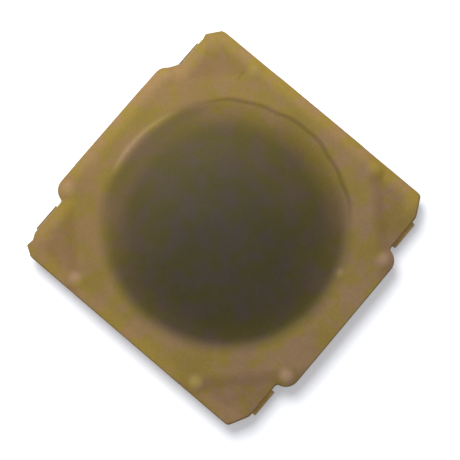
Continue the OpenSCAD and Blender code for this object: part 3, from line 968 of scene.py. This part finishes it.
def polyimide_film(settings):
    """Hot-pressed polyimide film: tan, hazy and satin. Where it lies on the dome it looks dark brown.

    The dark disc comes first, drawn lighter towards the lamps' side and towards the rim as a painted sheen.
    Over it are laid the rim where the film lifts off the dome, stronger on the lamps' side as painted light
    and darkened inside the lip by painted shade, the land and the terraces, warmed by painted light towards
    -X and cooled by painted shade towards +X, the cut edge with its painted highlight, the stretched film,
    partly painted highlight, and the fold with its painted shade, each by an amount between 0 and 1. Clouds
    tint it all, and three tones shade it. The real film's grain is finer than the 0.03 mm that is drawn here,
    and would not show.
    """
    material, tree = new_material("hazy_polyimide_film")
    where = add_node(tree, "TexCoord").outputs["Object"]
    flat = add_node(tree, "VectorMath", {0: where, 1: (1 / MM, 1 / MM, 0)}, operation="MULTIPLY")
    # Width of each pattern in millimetres, and its detail
    patterns = {
        "wobble": (0.8, 1.0), "drift": (0.35, 2.0), "cloud": (0.7, 3.0), "mottle": (0.16, 3.0),
        "grain": (0.03, 2.0),
    }
    noise = {
        name: add_node(tree, "TexNoise", {"Vector": where, "Scale": per_metre(width), "Detail": detail})
        for name, (width, detail) in patterns.items()
    }
    # Which pattern each effect follows, and its least and greatest value
    effects = {
        "offset": ("wobble", -0.015, 0.015), "slow": ("cloud", 0.94, 1.06), "quick": ("mottle", 0.96, 1.04),
        "fine": ("grain", 0.94, 1.06), "rough": ("mottle", 0.5, 0.6),
    }
    effect = {
        name: add_node(
            tree, "MapRange",
            {"Value": noise[pattern], **NOISE_SPREAD, "To Min": least, "To Max": most},
        )
        for name, (pattern, least, most) in effects.items()
    }

    radius = add_node(tree, "VectorMath", {0: flat}, operation="LENGTH").outputs["Value"]
    wavy = add_node(tree, "Math", {0: radius, 1: effect["offset"]}, operation="ADD")
    # Distances from the middle towards the painted sheen's lit side and towards the lip, whose angles are in
    # degrees
    across, near_lip = [
        add_node(
            tree, "VectorMath",
            {0: flat, 1: (math.cos(math.radians(turn)), math.sin(math.radians(turn)), 0)},
            operation="DOT_PRODUCT",
        ).outputs["Value"]
        for turn in (135, 176)
    ]
    # The painted sheen also grows with the square of the radius
    bowl = 0.74
    squared = add_node(tree, "Math", {0: radius, 1: radius}, operation="MULTIPLY")
    painted_sheen = add_node(tree, "Math", {0: squared, 1: bowl, 2: across}, operation="MULTIPLY_ADD")
    place = add_node(tree, "SeparateXYZ", {0: flat})
    sides = add_node(tree, "VectorMath", {0: flat}, operation="ABSOLUTE")
    diagonal = add_node(
        tree, "VectorMath", {0: sides, 1: (1, 1, 0)}, operation="DOT_PRODUCT"
    ).outputs["Value"]
    carried = {
        name: add_node(tree, "Attribute", attribute_name=name).outputs["Fac"]
        for name in ("margin", "strain_and_highlight", "fold")
    }
    # What each amount follows, where it starts and where it ends, and its value at both
    amounts = {
        "LINEAR": {
            "painted_sheen_amount": (painted_sheen, 0.0, 3.2, 0.0, 1.0), "along_x": (place, -2.2, 2.2, 0.0, 1.0),
            # The film over the bosses, the lip and the speck is paler, partly stretched film and partly
            # painted highlight
            "strained_and_lit": (carried["strain_and_highlight"], 0.0, 1.0, 0.0, 0.55),
            "folded": (carried["fold"], 0.0, 1.0, 0.0, 0.5),
        },
        "SMOOTHSTEP": {
            # towards: painted light, which makes the rim's lift show more on the lamps' side
            "lifted": (radius, 1.48, 1.98, 0.0, 1.0), "towards": (across, -1.0, 1.5, 0.13, 1.0),
            # The rim is darkened near 176 degrees, inside the lip, as painted shade
            "painted_lip_shade": (near_lip, 1.4, 1.85, 0.0, 0.7), "on_land": (wavy, 1.875, 2.175, 0.0, 1.0),
            "on_terrace": (diagonal, 3.36, 3.66, 0.0, 1.0), "rosy": (noise["drift"], 0.38, 0.62, 0.0, 1.0),
        },
    }
    amount = {
        name: add_node(
            tree, "MapRange",
            {"Value": value, "From Min": start, "From Max": end, "To Min": first, "To Max": last},
            interpolation_type=kind,
        )
        for kind, rows in amounts.items() for name, (value, start, end, first, last) in rows.items()
    }
    # The film is paler where it lifts off the dome at the rim, and this is drawn stronger on the lamps' side
    # as painted light
    lifted = add_node(tree, "Math", {0: amount["lifted"], 1: amount["towards"]}, operation="MULTIPLY")

    # The amount that each blend follows, and its two colours. Sockets 6 and 7 of a Mix node take colours,
    # and its output 2 gives one.
    blends = {
        # core: the disc with its painted sheen, from its shaded to its lit end
        "core": ("painted_sheen_amount", settings.disc_dark, settings.disc_light),
        # rim: the lifted film, darkened inside the lip by painted shade
        "rim": ("painted_lip_shade", settings.disc_rim, settings.disc_light),
        # land and low: painted warm light towards -X and painted cool shade towards +X
        "land": ("along_x", settings.border, settings.border_cool_shade),
        "low": ("along_x", settings.terrace, settings.terrace_cool_shade),
        "tint": ("rosy", settings.yellow_cloud, settings.rosy_cloud),
    }
    blend = {
        name: add_node(
            tree, "Mix", {"Factor": amount[follows], 6: rgba(first), 7: rgba(second)},
            data_type="RGBA",
        ).outputs[2]
        for name, (follows, first, second) in blends.items()
    }
    layers = (
        (lifted, blend["rim"]), (amount["on_land"], blend["land"]), (amount["on_terrace"], blend["low"]),
        (carried["margin"], rgba(settings.margin)), (amount["strained_and_lit"], rgba(settings.strained_and_lit)),
        # The kinked fold gets its painted shade last
        (amount["folded"], rgba(settings.folded)),
    )
    film = blend["core"]
    for cover, layer in layers:
        film = add_node(tree, "Mix", {"Factor": cover, 6: film, 7: layer}, data_type="RGBA").outputs[2]
    film = add_node(tree, "VectorMath", {0: film, 1: blend["tint"]}, operation="MULTIPLY")
    middle_grey = 0.5
    tone = 1 / middle_grey
    for name in ("slow", "quick", "fine"):
        tone = add_node(tree, "Math", {0: tone, 1: effect[name]}, operation="MULTIPLY")
    shaded = add_node(tree, "VectorMath", {0: film, "Scale": tone}, operation="SCALE")
    bump = add_node(tree, "Bump", {"Height": noise["mottle"], "Strength": 0.2, "Distance": 0.004 * MM})
    shader = add_node(
        tree, "BsdfPrincipled",
        {"Base Color": shaded, "Roughness": effect["rough"], "Normal": bump,
         "IOR": 1.5, "Specular IOR Level": 0.08},
    )
    add_node(tree, "OutputMaterial", {"Surface": shader})
    return material


class SWITCH_OT_housing(bpy.types.Operator):
    """Builds the moulded base."""

    bl_idname = "switch.housing"
    bl_label = "Moulded base"

    def execute(self, context):
        settings = context.scene.switch_housing
        mesh = housing_mesh(in_mm(settings), in_mm(context.scene.switch_contacts))
        finished(mesh, moulded_lcp(settings), "housing", "housing")
        return {"FINISHED"}


class SWITCH_OT_contacts(bpy.types.Operator):
    """Builds the two stamped contacts with their folded leads."""

    bl_idname = "switch.contacts"
    bl_label = "Contacts and leads"

    def execute(self, context):
        s, c = in_mm(context.scene.switch_housing), in_mm(context.scene.switch_contacts)
        metal = plated_brass(context.scene.switch_contacts)
        finished(center_contact_mesh(s, c), metal, "housing", "center_contact")
        finished(ring_contact_mesh(s, c), metal, "housing", "ring_contact")
        return {"FINISHED"}


class SWITCH_OT_dome(bpy.types.Operator):
    """Builds the snap dome at rest; the real one bends down from its rim to its top."""

    bl_idname = "switch.dome"
    bl_label = "Snap dome"

    def execute(self, context):
        settings = context.scene.switch_dome
        piece = finished(dome_mesh(in_mm(settings)), rolled_steel(settings), None, "snap_dome")
        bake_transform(piece)
        return {"FINISHED"}


class SWITCH_OT_film(bpy.types.Operator):
    """Builds the sealing film as its border and its crown, at rest; the real crown flattens as the switch is
    pressed.
    """

    bl_idname = "switch.film"
    bl_label = "Sealing film"

    def execute(self, context):
        s, settings = in_mm(context.scene.switch_housing), context.scene.switch_film
        film = polyimide_film(settings)
        finished(film_border_mesh(s, in_mm(settings)), film, "housing", "cover_film")
        crown = finished(film_crown_mesh(s, in_mm(settings)), film, "housing", "cover_film")
        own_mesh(crown)
        return {"FINISHED"}


def way(heading, height):
    """Unit vector from the origin at a compass angle from +X and an angle over the floor."""
    flat = math.cos(height)
    return Vector((flat * math.cos(heading), flat * math.sin(heading), math.sin(height)))


def area_lamp(name, watts, size, place):
    """Square soft lamp at place, turned towards the origin."""
    data = bpy.data.lights.new(name, "AREA")
    data.energy = watts
    data.shape = "SQUARE"
    data.size = size
    obj = bpy.data.objects.new(name, data)
    obj.location = place
    obj.rotation_euler = (-place).to_track_quat("-Z", "Y").to_euler()
    bpy.context.scene.collection.objects.link(obj)


def seen_directly(tree):
    """1 for rays from the camera, off glossy surfaces and through clear ones, and 0 for all others."""
    path = add_node(tree, "LightPath")
    either = add_node(
        tree, "Math", {0: path.outputs["Is Camera Ray"], 1: path.outputs["Is Glossy Ray"]},
        operation="MAXIMUM",
    )
    return add_node(
        tree, "Math", {0: either, 1: path.outputs["Is Transmission Ray"]},
        operation="MAXIMUM",
    )


def matte_paper(name):
    """Matte white paper that glows a little for the camera, least round the part, where its shadow falls.

    The glow rises smoothly with the distance from the origin and keeps the far floor white.
    """
    paper_colour, glow_colour = rgba(linear("#e4e6ea")), rgba(linear("#f2f5ff"))
    near, near_glow = 4 * MM, 0.27
    far, far_glow = 22 * MM, 0.8
    material, tree = new_material(name)
    paper = add_node(tree, "BsdfDiffuse", {"Color": paper_colour})
    where = add_node(tree, "TexCoord").outputs["Object"]
    distance = add_node(tree, "VectorMath", {0: where}, operation="LENGTH").outputs["Value"]
    glow = add_node(
        tree, "MapRange",
        {"Value": distance, "From Min": near, "From Max": far, "To Min": near_glow, "To Max": far_glow},
        interpolation_type="SMOOTHSTEP",
    )
    strength = add_node(tree, "Math", {0: seen_directly(tree), 1: glow}, operation="MULTIPLY")
    light = add_node(tree, "Emission", {"Color": glow_colour, "Strength": strength})
    both = add_node(tree, "AddShader", {0: paper, 1: light})
    add_node(tree, "OutputMaterial", {"Surface": both})
    return material


def white_world(scene, strength):
    """World that lights evenly at strength and is seen as plain white."""
    world = bpy.data.worlds.new("white_surround")
    world.use_nodes = True
    tree = world.node_tree
    tree.nodes.clear()
    light = add_node(tree, "Background", {"Color": (1, 1, 1, 1), "Strength": strength})
    seen = add_node(tree, "Background", {"Color": (1, 1, 1, 1), "Strength": 1.0})
    both = add_node(tree, "MixShader", {0: seen_directly(tree), 1: light, 2: seen})
    add_node(tree, "OutputWorld", {"Surface": both})
    scene.world = world


def photo_camera(stage):
    """Camera above the switch, tilted a little off the vertical and turned so that its tabs point aslant.

    Its lens and its small shift put the part where the photograph has it, in a square picture. The scale
    is in pixels for each metre at the origin, and origin_px is where the origin lies in the picture.
    """
    picture, clip_span = 460, 50
    scale_px = 59.18 / MM
    origin_px = (225.522, 227.811)
    data = bpy.data.cameras.new("camera")
    data.sensor_width = 36
    data.lens = scale_px * stage.distance / picture * data.sensor_width
    data.shift_x = (picture / 2 - origin_px[0]) / picture
    data.shift_y = (origin_px[1] - picture / 2) / picture
    data.clip_start = stage.distance / clip_span
    data.clip_end = stage.distance * clip_span
    sine, cosine = math.sin(stage.tilt), math.cos(stage.tilt)
    back = Vector((sine * math.cos(stage.heading), sine * math.sin(stage.heading), cosine))
    right = Vector((-math.sin(stage.heading), math.cos(stage.heading), 0))
    up = back.cross(right)
    camera = bpy.data.objects.new("camera", data)
    axes = Matrix((right, up, back)).transposed()
    camera.matrix_world = Matrix.Translation(back * stage.distance) @ axes.to_4x4()
    bpy.context.scene.collection.objects.link(camera)
    return camera


class SWITCH_OT_stage(bpy.types.Operator):
    """Builds the floor, the world, the lamps and the camera."""

    bl_idname = "switch.stage"
    bl_label = "Stage, lamps and camera"

    def execute(self, context):
        scene, stage = context.scene, context.scene.switch_stage
        half, thickness = 200.0, 2.0
        floor = slab("floor", (-half, -half, -thickness), (half, half, 0))
        floor.transform(Matrix.Scale(MM, 4))
        floor.materials.append(matte_paper("matte_white_paper"))
        placed(floor)
        white_world(scene, stage.fill)
        key_place = stage.key_distance * way(stage.key_heading, stage.key_height)
        area_lamp("key_lamp", stage.key, stage.key_size, key_place)
        side_place = stage.side_distance * way(stage.side_heading, stage.side_height)
        area_lamp("side_lamp", stage.side, stage.side_size, side_place)
        scene.camera = photo_camera(stage)
        scene.view_settings.view_transform = "Standard"
        return {"FINISHED"}


class SWITCH_PT_sidebar(bpy.types.Panel):
    """Lists the pieces of the switch and their settings."""

    bl_idname = "SWITCH_PT_sidebar"
    bl_label = "Tactile switch"
    bl_space_type = "VIEW_3D"
    bl_region_type = "UI"
    bl_category = "Switch"

    def draw(self, context):
        for operator, group in PANEL_ROWS:
            box = self.layout.box()
            box.operator(operator)
            settings = getattr(context.scene, group)
            for prop in settings.bl_rna.properties:
                if prop.identifier not in ("rna_type", "name"):
                    box.prop(settings, prop.identifier)


PANEL_ROWS = (
    ("switch.housing", "switch_housing"),
    ("switch.contacts", "switch_contacts"),
    ("switch.dome", "switch_dome"),
    ("switch.film", "switch_film"),
    ("switch.stage", "switch_stage"),
)
SETTINGS = {
    "switch_housing": HousingSettings,
    "switch_contacts": ContactSettings,
    "switch_dome": DomeSettings,
    "switch_film": FilmSettings,
    "switch_stage": StageSettings,
}
OPERATORS = (
    SWITCH_OT_housing, SWITCH_OT_contacts, SWITCH_OT_dome, SWITCH_OT_film, SWITCH_OT_stage,
)


def register():
    """Registers the settings, the operators and the panel."""
    for name, settings in SETTINGS.items():
        bpy.utils.register_class(settings)
        setattr(bpy.types.Scene, name, PointerProperty(type=settings))
    for cls in OPERATORS + (SWITCH_PT_sidebar,):
        bpy.utils.register_class(cls)


def unregister():
    """Takes the panel, the operators and the settings away again."""
    for cls in (SWITCH_PT_sidebar,) + OPERATORS[::-1]:
        bpy.utils.unregister_class(cls)
    for name, settings in SETTINGS.items():
        delattr(bpy.types.Scene, name)
        bpy.utils.unregister_class(settings)


def corners(box):
    """The two corners of a box as plain lists of numbers."""
    return [[float(value) for value in corner] for corner in box]


def main():
    """Registers everything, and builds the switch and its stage."""
    register()
    bpy.ops.switch.housing()
    bpy.ops.switch.contacts()
    bpy.ops.switch.dome()
    bpy.ops.switch.film()
    bpy.ops.switch.stage()


if __name__ == "__main__":
    main()
